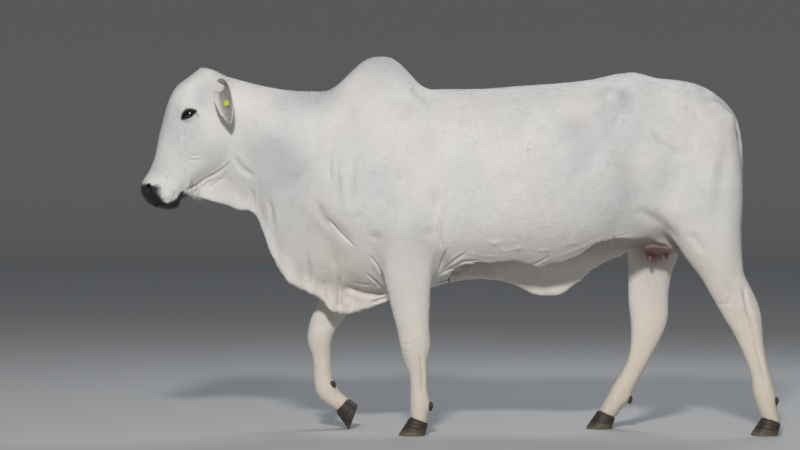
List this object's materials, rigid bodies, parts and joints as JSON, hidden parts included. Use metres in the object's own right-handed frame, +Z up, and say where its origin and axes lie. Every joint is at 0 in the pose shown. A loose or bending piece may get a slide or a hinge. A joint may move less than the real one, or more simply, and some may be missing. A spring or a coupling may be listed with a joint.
{
  "type": "nelore cow museum model",
  "caption": "Life-size still model of a polled Nelore cow walking, with hump, dewlap, drooping ears, cloven hooves and a tail with a dark switch.",
  "frame": {"origin": "on the floor, under the middle of the animal's bounding box", "axes": "-X towards the head, +X towards the tail, -Y towards the animal's left side, +Z up"},
  "size_m": [2.5427, 0.6667, 1.5024],
  "materials": {
    "hide": "short white hair over dark skin",
    "eye": "dark wet eye",
    "claw_horn": "dark horn",
    "ear_tag": "moulded yellow-green plastic",
    "switch_hair": "long black tail hair"
  },
  "bodies": {
    "root": {"claw_fore_left_inner": "claw_horn", "claw_fore_left_outer": "claw_horn", "claw_fore_right_inner": "claw_horn", "claw_fore_right_outer": "claw_horn", "claw_hind_left_inner": "claw_horn", "claw_hind_left_outer": "claw_horn", "claw_hind_right_inner": "claw_horn", "claw_hind_right_outer": "claw_horn", "dewclaw_fore_left_inner": "claw_horn", "dewclaw_fore_left_outer": "claw_horn", "dewclaw_fore_right_inner": "claw_horn", "dewclaw_fore_right_outer": "claw_horn", "dewclaw_hind_left_inner": "claw_horn", "dewclaw_hind_left_outer": "claw_horn", "dewclaw_hind_right_inner": "claw_horn", "dewclaw_hind_right_outer": "claw_horn", "dewlap": "hide", "ear_left": "hide", "ear_right": "hide", "ear_tag": "ear_tag", "eye_left": "eye", "eye_right": "eye", "head": "hide", "hump": "hide", "leg_fore_left": "hide", "leg_fore_right": "hide", "leg_hind_left": "hide", "leg_hind_right": "hide", "neck": "hide", "tail": "hide", "tail_switch": "switch_hair", "torso": "hide"}
  },
  "joints": []
}
